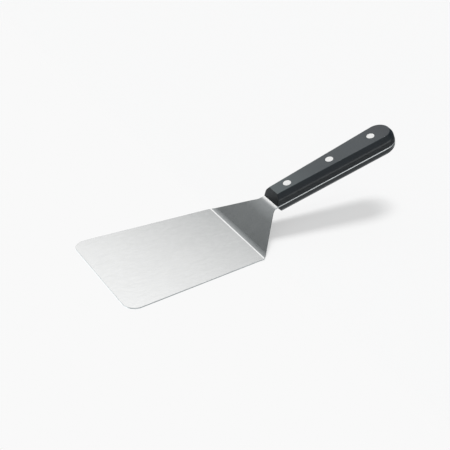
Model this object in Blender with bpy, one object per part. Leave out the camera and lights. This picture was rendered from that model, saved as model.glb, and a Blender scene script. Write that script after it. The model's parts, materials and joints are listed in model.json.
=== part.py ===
"""Offset grill spatula: one bent steel sheet (blade, neck and full tang), two black grip scales
and three two-part flush rivets. Lengths are metres, +Z is up, and the blade lies flat on Z = 0.

The blade runs along -X and the handle rises towards +X. The origin is the middle of the blade's
underside. The handle's pieces are modelled in the handle's own frame, an empty on the tang's
middle plane: its X runs up the handle and its Z is square to the tang.
"""

from math import cos, pi, radians, sin, sqrt, tan

import bmesh
import bpy
from mathutils import Matrix, Vector

# Sheet metal, drawn flat from the crease between blade and neck
SHEET = 0.00125
BLADE_LENGTH = 0.107
BLADE_FRONT_WIDTH = 0.0915
CREASE_WIDTH = 0.075
FRONT_CORNER_RADIUS = 0.009
CREASE_CORNER_RADIUS = 0.0015
NECK_LENGTH = 0.03151
NECK_END_WIDTH = 0.0148
NECK_FILLET_RADIUS = 0.006

# Bends: (place, turn, inner radius). Past the crease the neck bows up a little more, and it
# eases off before the bend where the tang begins.
CREASE_BEND = (0, radians(26), 0.0026)
BOW_BEND = (0.0026, radians(8.37), 0.020)
EASING_BEND = (0.02541, radians(-4.5), 0.114)
TANG_BEND = (NECK_LENGTH, radians(-15.27), 0.012)
BENDS = (CREASE_BEND, BOW_BEND, EASING_BEND, TANG_BEND)

# Handle, measured along the tang from the line where the neck's plane meets the tang's
TANG_ROOT_WIDTH = 0.01825
TANG_FLARE = 0.034
HANDLE_FRONT = 0.0017
HANDLE_END = 0.1085
UPPER_THICKNESS = 0.00825
LOWER_THICKNESS = 0.00735
FRONT_RAKE = 0.0037
SHOULDER_DROP = 0.00335
SHOULDER_INSET = 0.0006
SHOULDER_RADIUS = 0.0036
FLAT_INSET = 0.0038
END_SHARE = 0.66
FLAT_EDGE_RADIUS = 0.0008
FRONT_EDGE_RADIUS = 0.0003

# Rivets
RIVET_NAMES = ("front", "middle", "rear")
FIRST_RIVET = 0.0172
RIVET_SPACING = 0.0367
HEAD_RADIUS = 0.0030
HEAD_DEPTH = 0.0012
HEAD_EDGE = 0.00015
BARREL_RADIUS = 0.0021
BARREL_TOP = 0.0035
BORE_RADIUS = 0.0015
BORE_FLOOR = -0.0052
PIN_RADIUS = 0.0012
PIN_TIP = -0.0042

# Clearance between neighbouring pieces
GAP = 0.0003

ARC_STEP = radians(7.5)
BEND_STEPS = 8
TURN_STEPS = 32

STEEL = ((0.60, 0.61, 0.61), 1.0, 0.34)
BLACK_PLASTIC = ((0.035, 0.038, 0.040), 0.0, 0.42)
RIVET_METAL = ((0.82, 0.82, 0.81), 1.0, 0.28)


def clear_scene():
    for item in list(bpy.data.objects):
        bpy.data.objects.remove(item, do_unlink=True)


def material(name, look):
    """A Principled material from a colour, a metallic value and a roughness."""
    colour, metallic, roughness = look
    made = bpy.data.materials.new(name)
    made.use_nodes = True
    shader = made.node_tree.nodes["Principled BSDF"]
    shader.inputs["Base Color"].default_value = (*colour, 1.0)
    shader.inputs["Metallic"].default_value = metallic
    shader.inputs["Roughness"].default_value = roughness
    made.diffuse_color = (*colour, 1.0)
    return made


def add_object(name, mesh_source, finish=None, parent=None):
    """An object from a bmesh, smooth except at its real edges."""
    bmesh.ops.recalc_face_normals(mesh_source, faces=mesh_source.faces)
    mesh = bpy.data.meshes.new(name)
    mesh_source.to_mesh(mesh)
    mesh_source.free()
    mesh.shade_smooth()
    mesh.set_sharp_from_angle(angle=radians(20))
    made = bpy.data.objects.new(name, mesh)
    bpy.context.scene.collection.objects.link(made)
    made.parent = parent
    if finish:
        mesh.materials.append(finish)
    return made


def rounded(corners, step=ARC_STEP):
    """A polyline through (u, v, radius) corners, with each corner replaced by its arc."""
    points = []
    for index, (u, v, radius) in enumerate(corners):
        corner = Vector((u, v))
        if radius == 0:
            points.append(corner)
            continue
        back = (Vector(corners[index - 1][:2]) - corner).normalized()
        ahead = (Vector(corners[index + 1][:2]) - corner).normalized()
        half = back.angle(ahead) / 2
        centre = corner + (back + ahead).normalized() * (radius / sin(half))
        start = corner + back * (radius / tan(half)) - centre
        turn = (pi - 2 * half) * (1 if back.cross(ahead) < 0 else -1)
        count = max(2, round(abs(turn) / step))
        for k in range(count + 1):
            points.append(centre + Matrix.Rotation(turn * k / count, 2) @ start)
    return points


def mirrored_loop(half_outline):
    """A closed outline from its half with v >= 0; points on the centre line aren't doubled."""
    other = [Vector((p.x, -p.y)) for p in reversed(half_outline) if p.y > 1e-7]
    return list(half_outline) + other


# The tang's sides flare from the neck to a round end that is tangent to both of them.


def tang_half_width(along):
    return TANG_ROOT_WIDTH / 2 + TANG_FLARE * along


def tip_place(inset):
    """Where an inset outline ends: the chamfer is narrower round the end than along the sides."""
    return HANDLE_END - END_SHARE * inset


def round_end_radius(inset):
    """The radius of the round end for an outline that lies inset inside the tang's own."""
    slant = sqrt(1 + TANG_FLARE**2)
    tip = tip_place(inset)
    return (tang_half_width(tip) - inset * slant) / (slant + TANG_FLARE)


def handle_outline(inset, front):
    """The handle's plan from its front line to its round end, inset from the tang's outline."""
    slant = sqrt(1 + TANG_FLARE**2)
    tip = tip_place(inset)
    return rounded(
        [
            (front, 0, 0),
            (front, tang_half_width(front) - inset * slant, FRONT_EDGE_RADIUS),
            (tip, tang_half_width(tip) - inset * slant, round_end_radius(inset)),
            (tip, 0, 0),
        ]
    )[:-1]


# Sheet metal: the flat pattern is drawn, scored across its bends and folded.


def bends():
    """(start, length, turn) of each bend along the sheet's middle plane, in flat pattern lengths."""
    for place, turn, inner in BENDS:
        radius = inner + SHEET / 2
        setback = radius * tan(abs(turn) / 2)
        yield place - setback, setback * 2, turn


def folded(point):
    """Where a point (along, across, above the middle plane) of the flat pattern lies when bent."""
    along, across, above = point
    x, z, pitch, done = -BLADE_LENGTH, 0.0, 0.0, -BLADE_LENGTH
    for start, length, turn in bends():
        run = min(along, start) - done
        x += run * cos(pitch)
        z += run * sin(pitch)
        done += run
        if along <= start:
            break
        part = min(along - start, length) / length
        setback = length / 2
        radius = setback / tan(abs(turn) / 2)
        chord = 2 * radius * sin(abs(turn) * part / 2)
        middle = pitch + turn * part / 2
        x += chord * cos(middle)
        z += chord * sin(middle)
        pitch += turn * part
        done += length * part
        if along <= start + length:
            break
    else:
        x += (along - done) * cos(pitch)
        z += (along - done) * sin(pitch)
    return Vector(
        (
            x - above * sin(pitch) + BLADE_LENGTH / 2,
            across,
            z + above * cos(pitch) + SHEET / 2,
        )
    )


def flat_pattern():
    """Half of the sheet's flat outline, from the middle of its front edge to the tang's tip."""
    narrowing = (CREASE_WIDTH - NECK_END_WIDTH) / 2 / NECK_LENGTH
    root = tang_half_width(-NECK_LENGTH)
    meet = (CREASE_WIDTH / 2 - root) / (narrowing + TANG_FLARE)
    tip = NECK_LENGTH + HANDLE_END
    return rounded(
        [
            (-BLADE_LENGTH, 0, 0),
            (-BLADE_LENGTH, BLADE_FRONT_WIDTH / 2, FRONT_CORNER_RADIUS),
            (0, CREASE_WIDTH / 2, CREASE_CORNER_RADIUS),
            (meet, root + TANG_FLARE * meet, NECK_FILLET_RADIUS),
            (tip, tang_half_width(HANDLE_END), round_end_radius(0)),
            (tip, 0, 0),
        ]
    )[1:-1]


def blade_and_tang(steel, handle):
    shape = bmesh.new()
    rim = [shape.verts.new((p.x, p.y, -SHEET / 2)) for p in mirrored_loop(flat_pattern())]
    face = shape.faces.new(rim)
    raised = bmesh.ops.extrude_face_region(shape, geom=[face])["geom"]
    top = [item for item in raised if isinstance(item, bmesh.types.BMVert)]
    bmesh.ops.translate(shape, vec=(0, 0, SHEET), verts=top)
    for start, length, _ in bends():
        for k in range(BEND_STEPS + 1):
            everything = shape.verts[:] + shape.edges[:] + shape.faces[:]
            place = (start + length * k / BEND_STEPS, 0, 0)
            bmesh.ops.bisect_plane(shape, geom=everything, plane_co=place, plane_no=(1, 0, 0))
    for vert in shape.verts:
        vert.co = folded(vert.co)
    sheet = add_object("blade_and_tang", shape, steel)
    hole = BARREL_RADIUS + GAP
    drill(sheet, handle, "tang_hole", [(0, -SHEET), (hole, -SHEET), (hole, SHEET), (0, SHEET)])
    return sheet


# Turned pieces and the holes they sit in, both about the rivets' axes.


def rivet_places():
    return [FIRST_RIVET + RIVET_SPACING * k for k in range(len(RIVET_NAMES))]


def turned(profile, along):
    """A solid spun about the rivet axis at a place along the handle, from (radius, height) points."""
    shape = bmesh.new()
    verts = [shape.verts.new((along + radius, 0, height)) for radius, height in profile]
    edges = [shape.edges.new(pair) for pair in zip(verts, verts[1:])]
    bmesh.ops.spin(
        shape,
        geom=verts + edges,
        cent=(along, 0, 0),
        axis=(0, 0, 1),
        angle=2 * pi,
        steps=TURN_STEPS,
        use_merge=True,
    )
    bmesh.ops.remove_doubles(shape, verts=shape.verts, dist=1e-6)
    return shape


def drill(target, handle, name, profile):
    """Cuts a hole of this turned profile at each rivet place."""
    for label, along in zip(RIVET_NAMES, rivet_places()):
        cutter = add_object(f"{name}_{label}_cutter", turned(profile, along), parent=handle)
        cutter.hide_render = True
        cutter.display_type = "WIRE"
        cut = target.modifiers.new(cutter.name, "BOOLEAN")
        cut.operation = "DIFFERENCE"
        cut.solver = "EXACT"
        cut.object = cutter


def rivet_pin(label, along, metal, handle):
    """The male half, with its head flush in the upper scale."""
    under_head = UPPER_THICKNESS - HEAD_DEPTH
    profile = [
        (0, UPPER_THICKNESS),
        (HEAD_RADIUS - HEAD_EDGE, UPPER_THICKNESS),
        (HEAD_RADIUS, UPPER_THICKNESS - HEAD_EDGE),
        (HEAD_RADIUS, under_head),
        (PIN_RADIUS, under_head),
        (PIN_RADIUS, PIN_TIP + PIN_RADIUS / 3),
        (PIN_RADIUS * 2 / 3, PIN_TIP),
        (0, PIN_TIP),
    ]
    add_object(f"rivet_pin_{label}", turned(profile, along), metal, handle)


def rivet_socket(label, along, metal, handle):
    """The female half, with its head flush in the lower scale and a blind bore for the pin."""
    over_head = HEAD_DEPTH - LOWER_THICKNESS
    profile = [
        (0, BORE_FLOOR),
        (BORE_RADIUS, BORE_FLOOR),
        (BORE_RADIUS, BARREL_TOP),
        (BARREL_RADIUS, BARREL_TOP),
        (BARREL_RADIUS, over_head),
        (HEAD_RADIUS, over_head),
        (HEAD_RADIUS, HEAD_EDGE - LOWER_THICKNESS),
        (HEAD_RADIUS - HEAD_EDGE, -LOWER_THICKNESS),
        (0, -LOWER_THICKNESS),
    ]
    add_object(f"rivet_socket_{label}", turned(profile, along), metal, handle)


# Grip scales: outlines stacked up the side profile, which has a soft shoulder and a chamfer.


def side_profile(thickness):
    """(inset, height) points up a scale's side, from the tang to the edge of the flat face."""
    return rounded(
        [
            (0, SHEET / 2 + GAP, 0),
            (SHOULDER_INSET, thickness - SHOULDER_DROP, SHOULDER_RADIUS),
            (FLAT_INSET, thickness, FLAT_EDGE_RADIUS),
            (FLAT_INSET * 2, thickness, 0),
        ],
        step=ARC_STEP * 2,
    )[:-1]


def scale(name, side, thickness, plastic, handle):
    """A grip scale over the tang (side 1) or under it (side -1), bored for the rivets."""
    shape = bmesh.new()
    rings = []
    for inset, height in side_profile(thickness):
        front = HANDLE_FRONT + FRONT_RAKE * (height - SHEET / 2) / (thickness - SHEET / 2)
        outline = mirrored_loop(handle_outline(inset, front)[1:])
        rings.append([shape.verts.new((p.x, p.y, side * height)) for p in outline])
    for low, high in zip(rings, rings[1:]):
        for k in range(len(low)):
            shape.faces.new((low[k - 1], low[k], high[k], high[k - 1]))
    shape.faces.new(rings[0])
    shape.faces.new(rings[-1])
    made = add_object(name, shape, plastic, handle)
    bore = BARREL_RADIUS + GAP
    recess = HEAD_RADIUS + GAP
    seat = side * (thickness - HEAD_DEPTH - GAP)
    outside = side * thickness * 2
    stepped = [(0, 0), (bore, 0), (bore, seat), (recess, seat), (recess, outside), (0, outside)]
    drill(made, handle, f"{name}_bore", stepped)


def handle_frame():
    """The empty that holds the handle's pieces, where the neck's plane meets the tang's."""
    x, z, pitch = BLADE_LENGTH / 2, SHEET / 2, 0
    for bend, after in zip(BENDS, BENDS[1:]):
        pitch += bend[1]
        x += (after[0] - bend[0]) * cos(pitch)
        z += (after[0] - bend[0]) * sin(pitch)
    frame = bpy.data.objects.new("handle_frame", None)
    bpy.context.scene.collection.objects.link(frame)
    frame.location = (x, 0, z)
    frame.rotation_euler = (0, -(pitch + BENDS[-1][1]), 0)
    return frame


def main():
    clear_scene()
    steel = material("brushed_steel", STEEL)
    plastic = material("black_plastic", BLACK_PLASTIC)
    metal = material("rivet_metal", RIVET_METAL)
    handle = handle_frame()
    blade_and_tang(steel, handle)
    scale("upper_scale", 1, UPPER_THICKNESS, plastic, handle)
    scale("lower_scale", -1, LOWER_THICKNESS, plastic, handle)
    for label, along in zip(RIVET_NAMES, rivet_places()):
        rivet_pin(label, along, metal, handle)
        rivet_socket(label, along, metal, handle)


main()
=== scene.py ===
"""Looks of the offset grill spatula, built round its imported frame.

Nine pieces are remade finer than the frame's solids: the folded steel sheet with softened edges, the
two grip scales and the two halves of each rivet. Lengths are metres and angles are named in degrees.
"""

import json
from math import cos, pi, radians, sin, sqrt, tan

import bmesh
import bpy
from mathutils import Matrix, Vector


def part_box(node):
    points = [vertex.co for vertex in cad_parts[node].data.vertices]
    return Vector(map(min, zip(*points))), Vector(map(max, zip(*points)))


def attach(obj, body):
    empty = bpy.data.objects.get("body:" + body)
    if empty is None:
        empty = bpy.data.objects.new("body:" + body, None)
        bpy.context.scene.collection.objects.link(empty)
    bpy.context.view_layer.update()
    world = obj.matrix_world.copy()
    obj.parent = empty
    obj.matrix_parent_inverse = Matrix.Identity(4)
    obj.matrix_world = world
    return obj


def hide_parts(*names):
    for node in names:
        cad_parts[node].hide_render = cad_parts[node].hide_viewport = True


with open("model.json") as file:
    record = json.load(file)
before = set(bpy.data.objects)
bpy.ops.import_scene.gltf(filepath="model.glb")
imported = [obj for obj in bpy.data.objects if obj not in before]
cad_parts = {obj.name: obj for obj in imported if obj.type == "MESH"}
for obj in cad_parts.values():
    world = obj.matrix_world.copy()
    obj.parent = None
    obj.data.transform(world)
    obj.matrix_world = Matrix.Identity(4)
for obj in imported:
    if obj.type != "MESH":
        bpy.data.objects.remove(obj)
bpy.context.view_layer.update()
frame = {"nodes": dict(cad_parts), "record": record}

# View
VIEW_AZIMUTH = radians(-30.04)
VIEW_ELEVATION = radians(32.46)
VIEW_DISTANCE = 0.8400
VIEW_TARGET = Vector((0.0523, 0.0146, 0))
LENS_MM = 93.95

# Sheet metal, drawn flat from the crease between blade and neck
BLADE_LENGTH = 0.107
BLADE_FRONT_WIDTH = 0.0915
CREASE_WIDTH = 0.075
FRONT_CORNER_RADIUS = 0.009
CREASE_CORNER_RADIUS = 0.0015
NECK_LENGTH = 0.03151
NECK_END_WIDTH = 0.0148
NECK_FILLET_RADIUS = 0.006
SHEET_TOP_EDGE_RADIUS = 0.00015
SHEET_UNDER_EDGE_RADIUS = 0.0006

# Bends: (place, turn, inner radius). Past the crease the neck bows up a little more, and it
# eases off before the bend where the tang begins.
CREASE_BEND = (0, radians(26), 0.0026)
BOW_BEND = (0.0026, radians(8.37), 0.020)
EASING_BEND = (0.02541, radians(-4.5), 0.114)
TANG_BEND = (NECK_LENGTH, radians(-15.27), 0.012)
BENDS = (CREASE_BEND, BOW_BEND, EASING_BEND, TANG_BEND)

# Handle, measured along the tang from the line where the neck's plane meets the tang's
TANG_ROOT_WIDTH = 0.01825
TANG_FLARE = 0.034
FLARE_SLANT = sqrt(1 + TANG_FLARE**2)
HANDLE_FRONT = 0.0017
HANDLE_END = 0.1085
FRONT_RAKE = 0.0037
SHOULDER_DROP = 0.00335
SHOULDER_INSET = 0.0006
SHOULDER_RADIUS = 0.0036
FLAT_INSET = 0.0038
END_SHARE = 0.66
FLAT_EDGE_RADIUS = 0.0008
FRONT_EDGE_RADIUS = 0.0003
FOOT_EDGE_RADIUS = 0.00015

# Rivets
HEAD_RADIUS = 0.0030
HEAD_DEPTH = 0.0012
HEAD_EDGE = 0.00012
BARREL_RADIUS = 0.0021
BARREL_TOP = 0.0035
BORE_RADIUS = 0.0015
BORE_FLOOR = -0.0052
PIN_RADIUS = 0.0012
PIN_TIP = -0.0042
SEAM = 0.00003

# Fineness of round stretches
ARC_STEP = radians(4)
PROFILE_STEP = radians(8)
SHEET_EDGE_STEP = radians(15)
BEND_STEPS = 20
TURN_STEPS = 64

# Edges that turn more than this stay sharp
SHEET_SHARP_ANGLE = radians(40)
SCALE_SHARP_ANGLE = radians(30)
RIVET_SHARP_ANGLE = radians(20)

# How far large faces lead small ones when normals are averaged
LARGEST_WEIGHT = 100

# How near each other a turned solid's points are merged, and how near its centre line an
# outline's point counts as lying on it
SAME_POINT = 0.000001
ON_CENTRE_LINE = 0.0000001


# Where the frame puts things


def mount(name):
    """The record's mount of that name."""
    return next(item for item in frame["record"]["mounts"] if item["name"] == name)


def reach(node, direction):
    """The lowest and the highest place of a node's points along a direction."""
    places = [vert.co.dot(direction) for vert in frame["nodes"][node].data.vertices]
    return min(places), max(places)


SHEET_THICKNESS = mount("blade_top")["pos_m"][2]
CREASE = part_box("blade_and_tang")[0].x + BLADE_LENGTH
TANG_UP = Vector(mount("grip_top")["axis"]).normalized()
TANG_ALONG = Vector((0, 1, 0)).cross(TANG_UP)
TANG_HEIGHT = (reach("upper_scale", TANG_UP)[0] + reach("lower_scale", TANG_UP)[1]) / 2
UPPER_THICKNESS = Vector(mount("grip_top")["pos_m"]).dot(TANG_UP) - TANG_HEIGHT
LOWER_THICKNESS = TANG_HEIGHT - Vector(mount("grip_underside")["pos_m"]).dot(TANG_UP)


def handle_placement():
    """The handle's own frame: on the tang's middle plane, HANDLE_END back from the tang's far end."""
    start = reach("blade_and_tang", TANG_ALONG)[1] - HANDLE_END
    turn = Matrix((TANG_ALONG, (0, 1, 0), TANG_UP)).transposed()
    return Matrix.Translation(TANG_ALONG * start + TANG_UP * TANG_HEIGHT) @ turn.to_4x4()


HANDLE = handle_placement()


def rivet_place(node):
    """How far along the handle a rivet's axis stands."""
    to_handle = HANDLE.inverted()
    places = [(to_handle @ vert.co).x for vert in frame["nodes"][node].data.vertices]
    return (min(places) + max(places)) / 2


RIVET_PLACES = {label: rivet_place(f"rivet_pin_{label}") for label in ("front", "middle", "rear")}


# Outlines


def rounded(corners, step=ARC_STEP):
    """A polyline through (u, v, radius) corners, with each corner replaced by its arc."""
    points = []
    for index, (u, v, radius) in enumerate(corners):
        corner = Vector((u, v))
        if radius == 0:
            points.append(corner)
            continue
        back = (Vector(corners[index - 1][:2]) - corner).normalized()
        ahead = (Vector(corners[index + 1][:2]) - corner).normalized()
        half = back.angle(ahead) / 2
        centre = corner + (back + ahead).normalized() * (radius / sin(half))
        start = corner + back * (radius / tan(half)) - centre
        turn = (pi - 2 * half) * (1 if back.cross(ahead) < 0 else -1)
        count = max(3, round(abs(turn) / step))
        for k in range(count + 1):
            points.append(centre + Matrix.Rotation(turn * k / count, 2) @ start)
    return points


def mirrored_loop(half_outline):
    """A closed outline from its half with v >= 0; points on the centre line aren't doubled."""
    other = [Vector((p.x, -p.y)) for p in reversed(half_outline) if p.y > ON_CENTRE_LINE]
    return list(half_outline) + other


def inset_loop(loop, inset):
    """A closed outline moved inwards by inset, square to each of its sides."""
    moved = []
    for index, point in enumerate(loop):
        before = (point - loop[index - 1]).normalized()
        after = (loop[(index + 1) % len(loop)] - point).normalized()
        inward = (Vector((before.y, -before.x)) + Vector((after.y, -after.x))).normalized()
        lean = inward.dot(Vector((after.y, -after.x)))
        moved.append(point + inward * (inset / lean))
    return moved


def tang_half_width(along):
    """Half the tang's width at a place along the handle; it grows evenly towards the end."""
    return TANG_ROOT_WIDTH / 2 + TANG_FLARE * along


def tip_place(inset):
    """Where an inset outline ends: the chamfer is narrower round the end than along the sides."""
    return HANDLE_END - END_SHARE * inset


def half_width(along, inset):
    """Half the width of an outline that lies inset inside the tang's flared sides."""
    return tang_half_width(along) - inset * FLARE_SLANT


def round_end_radius(inset):
    """The radius of the round end for an outline that lies inset inside the tang's own."""
    return half_width(tip_place(inset), inset) / (FLARE_SLANT + TANG_FLARE)


def handle_outline(inset, front):
    """The handle's plan from its front line to its round end, inset from the tang's outline."""
    tip = tip_place(inset)
    half_outline = rounded(
        [
            (front, 0, 0),
            (front, half_width(front, inset), FRONT_EDGE_RADIUS),
            (tip, half_width(tip, inset), round_end_radius(inset)),
            (tip, 0, 0),
        ]
    )
    return mirrored_loop(half_outline[1:-1])


def flat_pattern():
    """The sheet's flat outline, from the middle of its front edge round to the tang and back."""
    narrowing = (CREASE_WIDTH - NECK_END_WIDTH) / 2 / NECK_LENGTH
    root = tang_half_width(-NECK_LENGTH)
    meet = (CREASE_WIDTH / 2 - root) / (narrowing + TANG_FLARE)
    tip = NECK_LENGTH + HANDLE_END
    half_outline = rounded(
        [
            (-BLADE_LENGTH, 0, 0),
            (-BLADE_LENGTH, BLADE_FRONT_WIDTH / 2, FRONT_CORNER_RADIUS),
            (0, CREASE_WIDTH / 2, CREASE_CORNER_RADIUS),
            (meet, root + TANG_FLARE * meet, NECK_FILLET_RADIUS),
            (tip, tang_half_width(HANDLE_END), round_end_radius(0)),
            (tip, 0, 0),
        ]
    )
    return mirrored_loop(half_outline[1:-1])


# Mesh building


def edge_rings(profile, loop_at):
    """Rings of one outline for each (inset, height) point of a profile, as lists of 3-D points."""
    return [[Vector((p.x, p.y, height)) for p in loop_at(inset, height)] for inset, height in profile]


def skin(rings):
    """A closed bmesh from stacked rings: sides between them and one face at each end."""
    shape = bmesh.new()
    rows = [[shape.verts.new(point) for point in ring] for ring in rings]
    for low, high in zip(rows, rows[1:]):
        for k in range(len(low)):
            shape.faces.new((low[k - 1], low[k], high[k], high[k - 1]))
    shape.faces.new(rows[0])
    shape.faces.new(rows[-1])
    return shape


def turned(profile, along):
    """A solid spun about a rivet's axis, from (radius, height) points."""
    shape = bmesh.new()
    verts = [shape.verts.new((along + radius, 0, height)) for radius, height in profile]
    edges = [shape.edges.new(pair) for pair in zip(verts, verts[1:])]
    bmesh.ops.spin(
        shape,
        geom=verts + edges,
        cent=(along, 0, 0),
        axis=(0, 0, 1),
        angle=2 * pi,
        steps=TURN_STEPS,
        use_merge=True,
    )
    bmesh.ops.remove_doubles(shape, verts=shape.verts, dist=SAME_POINT)
    return shape


def mesh_object(name, shape, placement=Matrix.Identity(4)):
    """An object from a bmesh whose points are moved to their place in the row frame."""
    bmesh.ops.transform(shape, matrix=placement, verts=shape.verts)
    bmesh.ops.recalc_face_normals(shape, faces=shape.faces)
    mesh = bpy.data.meshes.new(name)
    shape.to_mesh(mesh)
    shape.free()
    made = bpy.data.objects.new(name, mesh)
    bpy.context.scene.collection.objects.link(made)
    return made


def drill_for_rivets(piece, profile):
    """Cuts a turned hole at each rivet and keeps the result as the piece's own mesh."""
    cutters = []
    for along in RIVET_PLACES.values():
        cutter = mesh_object("drill", turned(profile, along), HANDLE)
        cut = piece.modifiers.new("drill", "BOOLEAN")
        cut.operation = "DIFFERENCE"
        cut.solver = "EXACT"
        cut.object = cutter
        cutters.append(cutter)
    evaluated = piece.evaluated_get(bpy.context.evaluated_depsgraph_get())
    drilled_mesh = bpy.data.meshes.new_from_object(evaluated)
    piece.modifiers.clear()
    piece.data = drilled_mesh
    for cutter in cutters:
        bpy.data.objects.remove(cutter)


def smooth_shading(piece, sharp_angle):
    """Smooth normals that keep flat faces flat and stay broken at edges over sharp_angle."""
    piece.data.shade_smooth()
    piece.data.set_sharp_from_angle(angle=sharp_angle)
    weighted = piece.modifiers.new("flat faces lead", "WEIGHTED_NORMAL")
    weighted.keep_sharp = True
    weighted.mode = "FACE_AREA"
    weighted.weight = LARGEST_WEIGHT


def finish_piece(piece, node, material):
    """Gives a piece its material, hangs it on the root body and hides the frame's node that it stands
    for.
    """
    piece.data.materials.clear()
    piece.data.materials.append(material)
    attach(piece, "root")
    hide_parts(node)


# Steel sheet


def bends():
    """(start, length, turn) of each bend along the sheet's middle plane, in flat pattern lengths."""
    for place, turn, inner in BENDS:
        radius = inner + SHEET_THICKNESS / 2
        setback = radius * tan(abs(turn) / 2)
        yield place - setback, setback * 2, turn


def folded(point):
    """Where a point (along, across, above the middle plane) of the flat pattern lies when bent."""
    along, across, above = point
    x = done = -BLADE_LENGTH
    z = pitch = 0.0
    for start, length, turn in bends():
        # The flat stretch before the bend
        run = min(along, start) - done
        x += run * cos(pitch)
        z += run * sin(pitch)
        done += run
        if along <= start:
            break
        # The bend, as far round it as the point lies
        part = min(along - start, length) / length
        radius = length / 2 / tan(abs(turn) / 2)
        chord = 2 * radius * sin(abs(turn) * part / 2)
        middle = pitch + turn * part / 2
        x += chord * cos(middle)
        z += chord * sin(middle)
        pitch += turn * part
        done += length * part
        if along <= start + length:
            break
    else:
        x += (along - done) * cos(pitch)
        z += (along - done) * sin(pitch)
    lift = SHEET_THICKNESS / 2
    return Vector((x + CREASE - above * sin(pitch), across, z + above * cos(pitch) + lift))


def sheet_edge_profile():
    """(inset, height) points round the sheet's edge: rounded under, just broken on top."""
    half = SHEET_THICKNESS / 2
    low, high = SHEET_UNDER_EDGE_RADIUS, SHEET_TOP_EDGE_RADIUS
    return rounded(
        [(low * 2, -half, 0), (0, -half, low), (0, half, high), (high * 2, half, 0)],
        step=SHEET_EDGE_STEP,
    )[1:-1]


def steel_sheet(material):
    """Blade, neck and tang: the flat outline with its edges eased, cut across at the bends, folded."""
    pattern = flat_pattern()
    profile = [(p.x, p.y) for p in sheet_edge_profile()]
    shape = skin(edge_rings(profile, lambda inset, height: inset_loop(pattern, inset)))
    for start, length, _ in bends():
        for k in range(BEND_STEPS + 1):
            everything = shape.verts[:] + shape.edges[:] + shape.faces[:]
            place = (start + length * k / BEND_STEPS, 0, 0)
            bmesh.ops.bisect_plane(shape, geom=everything, plane_co=place, plane_no=(1, 0, 0))
    for vert in shape.verts:
        vert.co = folded(vert.co)
    piece = mesh_object("steel_sheet", shape)
    hole = BARREL_RADIUS + SEAM
    outside = SHEET_THICKNESS
    drill_for_rivets(piece, [(0, -outside), (hole, -outside), (hole, outside), (0, outside)])
    smooth_shading(piece, SHEET_SHARP_ANGLE)
    finish_piece(piece, "blade_and_tang", material)


# Grip scales


def scale_profile(thickness):
    """(inset, height) points up a scale's side, from the tang to the edge of the flat face."""
    foot = SHEET_THICKNESS / 2
    return rounded(
        [
            (FOOT_EDGE_RADIUS * 2, foot, 0),
            (0, foot, FOOT_EDGE_RADIUS),
            (SHOULDER_INSET, thickness - SHOULDER_DROP, SHOULDER_RADIUS),
            (FLAT_INSET, thickness, FLAT_EDGE_RADIUS),
            (FLAT_INSET * 2, thickness, 0),
        ],
        step=PROFILE_STEP,
    )[1:-1]


def grip_scale(name, node, side, thickness, material):
    """A grip scale over the tang (side 1) or under it (side -1), bored for the rivets."""
    foot = SHEET_THICKNESS / 2

    def loop_at(inset, height):
        rise = (height - foot) / (thickness - foot)
        return handle_outline(inset, HANDLE_FRONT + FRONT_RAKE * rise)

    rings = edge_rings([(p.x, p.y) for p in scale_profile(thickness)], loop_at)
    shape = skin([[Vector((p.x, p.y, side * p.z)) for p in ring] for ring in rings])
    piece = mesh_object(name, shape, HANDLE)
    bore = BARREL_RADIUS + SEAM
    recess = HEAD_RADIUS + SEAM
    seat = side * (thickness - HEAD_DEPTH - SEAM)
    outside = side * thickness * 2
    stepped = [(0, 0), (bore, 0), (bore, seat), (recess, seat), (recess, outside), (0, outside)]
    drill_for_rivets(piece, stepped)
    smooth_shading(piece, SCALE_SHARP_ANGLE)
    finish_piece(piece, node, material)


# Rivets


def rivet_pin(label, along, material):
    """The male half, with its head flush in the upper scale."""
    under_head = UPPER_THICKNESS - HEAD_DEPTH
    profile = [
        (0, UPPER_THICKNESS),
        (HEAD_RADIUS - HEAD_EDGE, UPPER_THICKNESS),
        (HEAD_RADIUS - HEAD_EDGE / 3, UPPER_THICKNESS - HEAD_EDGE / 3),
        (HEAD_RADIUS, UPPER_THICKNESS - HEAD_EDGE),
        (HEAD_RADIUS, under_head),
        (PIN_RADIUS, under_head),
        (PIN_RADIUS, PIN_TIP + PIN_RADIUS / 3),
        (PIN_RADIUS * 2 / 3, PIN_TIP),
        (0, PIN_TIP),
    ]
    piece = mesh_object(f"{label}_rivet_upper_half", turned(profile, along), HANDLE)
    smooth_shading(piece, RIVET_SHARP_ANGLE)
    finish_piece(piece, f"rivet_pin_{label}", material)


def rivet_socket(label, along, material):
    """The female half, with its head flush in the lower scale and a blind bore for the pin."""
    over_head = HEAD_DEPTH - LOWER_THICKNESS
    profile = [
        (0, BORE_FLOOR),
        (BORE_RADIUS, BORE_FLOOR),
        (BORE_RADIUS, BARREL_TOP),
        (BARREL_RADIUS, BARREL_TOP),
        (BARREL_RADIUS, over_head),
        (HEAD_RADIUS, over_head),
        (HEAD_RADIUS, HEAD_EDGE - LOWER_THICKNESS),
        (HEAD_RADIUS - HEAD_EDGE / 3, HEAD_EDGE / 3 - LOWER_THICKNESS),
        (HEAD_RADIUS - HEAD_EDGE, -LOWER_THICKNESS),
        (0, -LOWER_THICKNESS),
    ]
    piece = mesh_object(f"{label}_rivet_lower_half", turned(profile, along), HANDLE)
    smooth_shading(piece, RIVET_SHARP_ANGLE)
    finish_piece(piece, f"rivet_socket_{label}", material)


# Node trees

# The mix node has its sockets once for each kind of data, and these are the ones for colours
MIX_FIRST_COLOUR = 6
MIX_SECOND_COLOUR = 7
MIX_RESULT_COLOUR = 2


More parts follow.
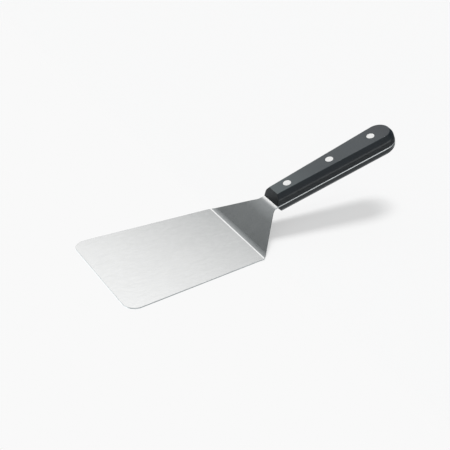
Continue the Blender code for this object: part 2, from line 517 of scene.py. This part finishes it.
class Graph:
    """Adds nodes to a tree, so that a material or a sky reads as a list of steps."""

    def __init__(self, tree):
        self.tree = tree

    def feed(self, socket, value):
        """Links a socket to another node's output, or sets it to a constant."""
        if isinstance(value, bpy.types.NodeSocket):
            self.tree.links.new(value, socket)
        else:
            socket.default_value = value

    def add(self, kind, **sockets):
        """A node with its named sockets fed; an underscore in a name stands for a space."""
        node = self.tree.nodes.new(kind)
        for name, value in sockets.items():
            self.feed(node.inputs[name.replace("_", " ")], value)
        return node

    def math(self, operation, *values):
        node = self.tree.nodes.new("ShaderNodeMath")
        node.operation = operation
        for socket, value in zip(node.inputs, values):
            self.feed(socket, value)
        return node.outputs["Value"]

    def dot(self, vector, direction):
        node = self.tree.nodes.new("ShaderNodeVectorMath")
        node.operation = "DOT_PRODUCT"
        self.feed(node.inputs[0], vector)
        node.inputs[1].default_value = direction
        return node.outputs["Value"]

    def ease(self, value, low, high, at_low=0.0, at_high=1.0):
        """An S-curve from at_low to at_high as value goes from low to high."""
        node = self.tree.nodes.new("ShaderNodeMapRange")
        node.interpolation_type = "SMOOTHSTEP"
        for socket, setting in zip(node.inputs, (value, low, high, at_low, at_high)):
            self.feed(socket, setting)
        return node.outputs["Result"]

    def span(self, value, low, high, edge):
        """1 between low and high, easing to 0 over edge outside them."""
        rise = self.ease(value, low - edge, low)
        fall = self.ease(value, high, high + edge, 1.0, 0.0)
        return self.math("MULTIPLY", rise, fall)

    def noise(self, place, per_metre, detail, roughness):
        """Noise from 0 to 1 with the same number of features per metre every way."""
        settings = {"Vector": place, "Scale": per_metre, "Detail": detail, "Roughness": roughness}
        return self.add("ShaderNodeTexNoise", **settings).outputs["Fac"]

    def stretched_noise(self, place, per_metre):
        """Noise from 0 to 1 with its own number of features per metre along x, y and z."""
        stretched = self.add("ShaderNodeMapping", Vector=place, Scale=per_metre)
        return self.noise(stretched.outputs["Vector"], 1.0, detail=3.0, roughness=0.6)

    def centred(self, value, amount):
        """A 0 to 1 texture value as a change of plus or minus amount."""
        return self.math("MULTIPLY_ADD", value, amount * 2, -amount)

    def mix(self, factor, first, second):
        """From the first colour to the second as factor goes from 0 to 1."""
        node = self.tree.nodes.new("ShaderNodeMix")
        node.data_type = "RGBA"
        self.feed(node.inputs["Factor"], factor)
        self.feed(node.inputs[MIX_FIRST_COLOUR], first)
        self.feed(node.inputs[MIX_SECOND_COLOUR], second)
        return node.outputs[MIX_RESULT_COLOUR]

    def blend(self, factor, first, second):
        """The same mix for two plain (red, green, blue) colours."""
        return self.mix(factor, (*first, 1.0), (*second, 1.0))

    def bump(self, height, distance):
        node = self.add("ShaderNodeBump", Height=height, Distance=distance, Strength=1.0)
        return node.outputs["Normal"]


# Materials. A texture has so many features per metre, along x, y and z where three numbers are
# given, and a depth is how far its bump stands out. An ease is (low, high, at low, at high).

STEEL_DARK = (0.554, 0.558, 0.556)
STEEL_PALE = (0.742, 0.746, 0.743)
STEEL_ROUGHNESS = 0.195
BRUSHING_PER_METRE = (12, 2600, 12)
BRUSHING_DEPTH = 0.0000018
BRUSHING_ROUGHNESS = 0.03
STREAK_PER_METRE = (7, 420, 7)
STREAK_SHARE = 0.2
CLOUD_PER_METRE = 30.0
CLOUD_SHARE = 0.3
MOTTLE_PER_METRE = (240, 420, 240)
MOTTLE_SHARE = 0.5
UNEVEN_ROUGHNESS = 0.03

PLASTIC_DARK = (0.003, 0.0052, 0.0075)
PLASTIC_PALE = (0.0045, 0.0072, 0.010)
PLASTIC_ROUGHNESS = 0.36
PLASTIC_IOR = 1.6
GRAIN_PER_METRE = 1600.0
GRAIN_DEPTH = 0.00004
GRAIN_ROUGHNESS = 0.05
PATCH_PER_METRE = 90.0
PATCH_ROUGHNESS = 0.03
# Painted sheen on the handle's upward faces, paler towards the front, and painted shade, darker
# towards the round end
FRONT_PAINTED_SHEEN = (0.0, 0.05, 0.0192, 0.0050)
REAR_PAINTED_SHADE = (0.08, 0.105, 0.0, -0.007)
PAINTED_SHEEN_FACING = (0.8, 0.97)
PAINTED_SHEEN_TINT = (0.86, 1.08, 1.04)

RIVET_DARK = (0.50, 0.50, 0.495)
RIVET_PALE = (0.79, 0.79, 0.785)
RIVET_ROUGHNESS = 0.28
SANDING_SLANT = radians(35)
SANDING_PER_METRE = (150, 1700, 150)
SANDING_DEPTH = 0.000004
SANDING_ROUGHNESS = 0.06


def new_material(name, metallic):
    """A material, its Principled shader, the graph that feeds it, and the place being shaded."""
    made = bpy.data.materials.new(name)
    made.use_nodes = True
    shader = made.node_tree.nodes["Principled BSDF"]
    shader.inputs["Metallic"].default_value = metallic
    graph = Graph(made.node_tree)
    place = graph.add("ShaderNodeTexCoord").outputs["Object"]
    return made, shader, graph, place


def brushed_steel():
    """Satin rolled sheet: fine lengthwise brushing, long soft streaks and a cloudy unevenness."""
    made, shader, graph, place = new_material("satin_steel", 1.0)
    brushing = graph.stretched_noise(place, BRUSHING_PER_METRE)
    streaks = graph.stretched_noise(place, STREAK_PER_METRE)
    clouds = graph.noise(place, CLOUD_PER_METRE, detail=3.0, roughness=0.6)
    mottle = graph.stretched_noise(place, MOTTLE_PER_METRE)
    unevenness = graph.math("MULTIPLY", clouds, CLOUD_SHARE)
    unevenness = graph.math("MULTIPLY_ADD", streaks, STREAK_SHARE, unevenness)
    unevenness = graph.math("MULTIPLY_ADD", mottle, MOTTLE_SHARE, unevenness)
    roughness = graph.math("ADD", graph.centred(brushing, BRUSHING_ROUGHNESS), STEEL_ROUGHNESS)
    roughness = graph.math("ADD", graph.centred(unevenness, UNEVEN_ROUGHNESS), roughness)
    graph.feed(shader.inputs["Base Color"], graph.blend(unevenness, STEEL_DARK, STEEL_PALE))
    graph.feed(shader.inputs["Roughness"], roughness)
    graph.feed(shader.inputs["Normal"], graph.bump(brushing, BRUSHING_DEPTH))
    return made


def painted_top_sheen(graph, place, colour):
    """Painted sheen on the handle's upward faces, cool grey and strongest at its front, and painted
    shade that darkens them towards the round end.
    """
    origin = HANDLE.translation.dot(TANG_ALONG)
    along = graph.math("SUBTRACT", graph.dot(place, TANG_ALONG), origin)
    facing = graph.dot(graph.add("ShaderNodeNewGeometry").outputs["Normal"], TANG_UP)
    painted_sheen = graph.math("ADD", graph.ease(along, *FRONT_PAINTED_SHEEN), graph.ease(along, *REAR_PAINTED_SHADE))
    painted_sheen = graph.math("MULTIPLY", painted_sheen, graph.ease(facing, *PAINTED_SHEEN_FACING))
    sheened = graph.tree.nodes.new("ShaderNodeVectorMath")
    sheened.operation = "MULTIPLY_ADD"
    for socket, value in zip(sheened.inputs, (painted_sheen, PAINTED_SHEEN_TINT, colour)):
        graph.feed(socket, value)
    return sheened.outputs["Vector"]


def black_plastic():
    """Dense black moulded plastic with a fine matt grain, and a painted sheen that makes its top paler
    towards the blade.
    """
    made, shader, graph, place = new_material("black_moulded_plastic", 0.0)
    grain = graph.noise(place, GRAIN_PER_METRE, detail=2.0, roughness=0.6)
    patches = graph.noise(place, PATCH_PER_METRE, detail=3.0, roughness=0.5)
    colour = graph.blend(patches, PLASTIC_DARK, PLASTIC_PALE)
    roughness = graph.math("ADD", graph.centred(grain, GRAIN_ROUGHNESS), PLASTIC_ROUGHNESS)
    roughness = graph.math("ADD", graph.centred(patches, PATCH_ROUGHNESS), roughness)
    graph.feed(shader.inputs["Base Color"], painted_top_sheen(graph, place, colour))
    graph.feed(shader.inputs["Roughness"], roughness)
    graph.feed(shader.inputs["Normal"], graph.bump(grain, GRAIN_DEPTH))
    shader.inputs["IOR"].default_value = PLASTIC_IOR
    return made


def rivet_metal():
    """Bright rivet heads, sanded flush on the slant."""
    made, shader, graph, place = new_material("sanded_rivet_metal", 1.0)
    slanted = graph.add("ShaderNodeMapping", Vector=place, Rotation=(0, 0, SANDING_SLANT))
    sanding = graph.stretched_noise(slanted.outputs["Vector"], SANDING_PER_METRE)
    roughness = graph.math("ADD", graph.centred(sanding, SANDING_ROUGHNESS), RIVET_ROUGHNESS)
    graph.feed(shader.inputs["Base Color"], graph.blend(sanding, RIVET_DARK, RIVET_PALE))
    graph.feed(shader.inputs["Roughness"], roughness)
    graph.feed(shader.inputs["Normal"], graph.bump(sanding, SANDING_DEPTH))
    return made


# Studio

WHITE = (1.0, 1.0, 1.0, 1.0)
BACKGROUND = 0.947
KEY_STRENGTH = 9.6
KEY_ANGLE = radians(14)
KEY_DIRECTIONS = (Vector((0.25, 0.46, 1)), Vector((0.42, 0.46, 1)), Vector((0.59, 0.46, 1)))

# Floor. Shade falls on it from about the crease onwards. There, painted shade dims its glow where the
# share of open air round a point, out to GATHERING_REACH, is below OPEN_SHARE.
FLOOR_HALF_SIZE = 30.0
FLOOR_DROP = 0.0001
FLOOR_ALBEDO = 0.108
SHADED_FLOOR_GLOW = 0.612
SHADE_START = CREASE - 0.006
SHADE_FULL = CREASE + 0.008
PAINTED_SHADE_DEPTH = 0.30
GATHERING_REACH = 0.038
OPEN_SHARE = 0.86


def add_camera():
    """Looks at VIEW_TARGET from VIEW_DISTANCE away; at azimuth 0 it would stand towards -y."""
    data = bpy.data.cameras.new("camera")
    data.lens = LENS_MM
    made = bpy.data.objects.new("camera", data)
    bpy.context.scene.collection.objects.link(made)
    back = Vector(
        (
            sin(VIEW_AZIMUTH) * cos(VIEW_ELEVATION),
            -cos(VIEW_AZIMUTH) * cos(VIEW_ELEVATION),
            sin(VIEW_ELEVATION),
        )
    )
    made.location = VIEW_TARGET + back * VIEW_DISTANCE
    made.rotation_euler = (-back).to_track_quat("-Z", "Y").to_euler()
    bpy.context.scene.camera = made


def key_lights():
    """A row of soft suns above and behind, which draw the handle's long soft shadow."""
    for direction in KEY_DIRECTIONS:
        data = bpy.data.lights.new("key", "SUN")
        data.energy = KEY_STRENGTH / len(KEY_DIRECTIONS)
        data.angle = KEY_ANGLE
        made = bpy.data.objects.new("key", data)
        made.rotation_euler = direction.to_track_quat("Z", "Y").to_euler()
        made.visible_glossy = False
        bpy.context.scene.collection.objects.link(made)


def pale_floor():
    """Lit from within round the blade, and lit by the key lights where the handle's shadow falls, with
    painted shade dimming its glow by the handle and neck.
    """
    made, shader, graph, place = new_material("pale_floor", 0.0)
    along = graph.add("ShaderNodeSeparateXYZ", Vector=place).outputs["X"]
    shaded = graph.ease(along, SHADE_START, SHADE_FULL)
    albedo = graph.math("MULTIPLY", shaded, FLOOR_ALBEDO)
    graph.feed(shader.inputs["Base Color"], albedo)
    lost = graph.math("MULTIPLY", shaded, BACKGROUND - SHADED_FLOOR_GLOW)
    glow = graph.math("SUBTRACT", BACKGROUND, lost)
    # Painted shade: the glow is dimmed where objects close round a point, under the handle's front and
    # beside the neck
    openness = graph.add("ShaderNodeAmbientOcclusion", Distance=GATHERING_REACH).outputs["AO"]
    painted_shade = graph.ease(openness, 0.0, OPEN_SHARE, PAINTED_SHADE_DEPTH, 0.0)
    painted_shade = graph.math("MULTIPLY", painted_shade, shaded)
    glow = graph.math("MULTIPLY", glow, graph.math("SUBTRACT", 1.0, painted_shade))
    graph.feed(shader.inputs["Emission Strength"], glow)
    shader.inputs["Emission Color"].default_value = WHITE
    shader.inputs["Specular IOR Level"].default_value = 0.0
    shader.inputs["Roughness"].default_value = 1.0
    return made


def floor():
    shape = bmesh.new()
    bmesh.ops.create_grid(shape, x_segments=1, y_segments=1, size=FLOOR_HALF_SIZE)
    made = mesh_object("floor", shape)
    made.location.z = -FLOOR_DROP
    made.data.materials.append(pale_floor())
    made.visible_glossy = False
    made.visible_diffuse = False


# Sky, drawn by direction in degrees: azimuth from the row's +y towards +x, off-axis azimuth
# without its sign, and height above the horizon. An ease is (low, high, at low, at high), 0 and 1
# where those two are left out, and a span is (low, high, edge). A glow is a brightness.

# Faint haze all round, by off-axis azimuth. The sky is cool, and neutral where the box is bright.
HAZE = (80, 120, 0.130, 0.12)
COOL_AHEAD = (0.94, 1.0, 1.02)
COOL_BEHIND = (0.95, 1.0, 1.02)
BEHIND = (80, 120)
NEUTRAL_BOX = (0.3, 0.8)

# Large soft box ahead. Its near side moves by BOX_LEAN degrees of azimuth for each degree of
# height, and its lower edge rises by BOX_SLANT degrees for each degree of azimuth. The lifts go by
# azimuth and height added up, which grows steadily over what the neck mirrors.
BOX_LEAN = 1.1
BOX_SIDE = (-59.7, -42.2, 0.0, 1.15)
BOX_FIRST_LIFT = (11.3, 13.6, 0.0, 0.145)
BOX_SECOND_LIFT = (16, 25, 0.0, 0.085)
BOX_ENDS = (80, 120, 1.0, 0.0)
BOX_SLANT = 0.42
BOX_LOWER_EDGE = (14.5, 25.2)
BOX_OVERHEAD = (60, 80, 1.0, 0.5)

# Low glow ahead, and side window
LOW_GLOW = 1.38
LOW_GLOW_WIDTH = (-70, 20, 40)
LOW_GLOW_TOP = (-29, -11, 1.0, 0.0)
WINDOW_GLOW = 0.3
WINDOW_WIDTH = (-85, -50, 10)
WINDOW_HEIGHT = (14, 42, 10)

# Behind the camera, above the horizon and then below it. STRIP_GLOW and the two places go by
# off-axis azimuth, and the rest by height.
WALL = (-18, 30, 0.0, 0.28)
STRIP = (2, 16, 8)
STRIP_GLOW = (158, 168, 1.75, 0.9)
ABOVE_PLACE = (112, 138)
FLOOR_GLOW = (-36, -24, 0.33, 0.0)
FLOOR_STRIP = (-30.3, -25, 3.0)
FLOOR_STRIP_GLOW = 1.2
UNDERNEATH = (-62, -50, 0.9, 0.0)
BELOW_PLACE = (50, 75)


def sky_behind_camera(graph, off_axis, height):
    """What the handle's near side and the sheet's near edge mirror: a low bright strip before a
    wall, and a glowing floor with a strip of its own."""
    strip = graph.math("MULTIPLY", graph.span(height, *STRIP), graph.ease(off_axis, *STRIP_GLOW))
    above = graph.math("ADD", strip, graph.ease(height, *WALL))
    above = graph.math("MULTIPLY", above, graph.ease(off_axis, *ABOVE_PLACE))
    floor_strip = graph.math("MULTIPLY", graph.span(height, *FLOOR_STRIP), FLOOR_STRIP_GLOW)
    below = graph.math("ADD", floor_strip, graph.ease(height, *FLOOR_GLOW))
    below = graph.math("ADD", below, graph.ease(height, *UNDERNEATH))
    below = graph.math("MULTIPLY", below, graph.ease(off_axis, *BELOW_PLACE))
    return graph.math("ADD", above, below)


def soft_box_ahead(graph, azimuth, off_axis, height):
    """The large soft box that the blade, the neck and the handle's top mirror."""
    leaning = graph.math("MULTIPLY_ADD", height, -BOX_LEAN, azimuth)
    up_the_neck = graph.math("ADD", azimuth, height)
    box = graph.math("ADD", graph.ease(leaning, *BOX_SIDE), graph.ease(up_the_neck, *BOX_FIRST_LIFT))
    box = graph.math("ADD", box, graph.ease(up_the_neck, *BOX_SECOND_LIFT))
    box = graph.math("MULTIPLY", box, graph.ease(off_axis, *BOX_ENDS))
    slanted = graph.math("MULTIPLY_ADD", azimuth, -BOX_SLANT, height)
    box = graph.math("MULTIPLY", box, graph.ease(slanted, *BOX_LOWER_EDGE))
    return graph.math("MULTIPLY", box, graph.ease(height, *BOX_OVERHEAD))


def low_glow(graph, azimuth, height):
    """A bright stretch low ahead, which the handle's front face mirrors."""
    across = graph.span(azimuth, *LOW_GLOW_WIDTH)
    glow = graph.math("MULTIPLY", across, graph.ease(height, *LOW_GLOW_TOP))
    return graph.math("MULTIPLY", glow, LOW_GLOW)


def side_window(graph, azimuth, height):
    """A dim window that only other views mirror."""
    across = graph.span(azimuth, *WINDOW_WIDTH)
    glow = graph.math("MULTIPLY", across, graph.span(height, *WINDOW_HEIGHT))
    return graph.math("MULTIPLY", glow, WINDOW_GLOW)


def studio_world():
    """Soft boxes drawn on the sky by direction; the camera itself sees one plain pale tone."""
    world = bpy.data.worlds.new("studio")
    world.use_nodes = True
    bpy.context.scene.world = world
    graph = Graph(world.node_tree)
    direction = graph.add("ShaderNodeTexCoord").outputs["Generated"]
    axes = graph.add("ShaderNodeSeparateXYZ", Vector=direction)
    azimuth = graph.math("DEGREES", graph.math("ARCTAN2", axes.outputs["X"], axes.outputs["Y"]))
    height = graph.math("DEGREES", graph.math("ARCSINE", axes.outputs["Z"]))
    off_axis = graph.math("ABSOLUTE", azimuth)

    box = soft_box_ahead(graph, azimuth, off_axis, height)
    glow = graph.math("ADD", box, graph.ease(off_axis, *HAZE))
    glow = graph.math("ADD", glow, low_glow(graph, azimuth, height))
    glow = graph.math("ADD", glow, side_window(graph, azimuth, height))
    glow = graph.math("ADD", glow, sky_behind_camera(graph, off_axis, height))

    seen = graph.add("ShaderNodeLightPath").outputs["Is Camera Ray"]
    plain = graph.math("MULTIPLY", seen, BACKGROUND)
    lit = graph.math("MULTIPLY", graph.math("SUBTRACT", 1.0, seen), glow)
    background = world.node_tree.nodes["Background"]
    graph.feed(background.inputs["Strength"], graph.math("ADD", plain, lit))
    cool = graph.blend(graph.ease(off_axis, *BEHIND), COOL_AHEAD, COOL_BEHIND)
    neutral = graph.math("MAXIMUM", seen, graph.ease(box, *NEUTRAL_BOX))
    graph.feed(background.inputs["Color"], graph.mix(neutral, cool, WHITE))
    bpy.context.scene.view_settings.view_transform = "Standard"


add_camera()
studio_world()
key_lights()
floor()
steel_sheet(brushed_steel())
plastic = black_plastic()
grip_scale("upper_grip_scale", "upper_scale", 1, UPPER_THICKNESS, plastic)
grip_scale("lower_grip_scale", "lower_scale", -1, LOWER_THICKNESS, plastic)
metal = rivet_metal()
for label, along in RIVET_PLACES.items():
    rivet_pin(label, along, metal)
    rivet_socket(label, along, metal)
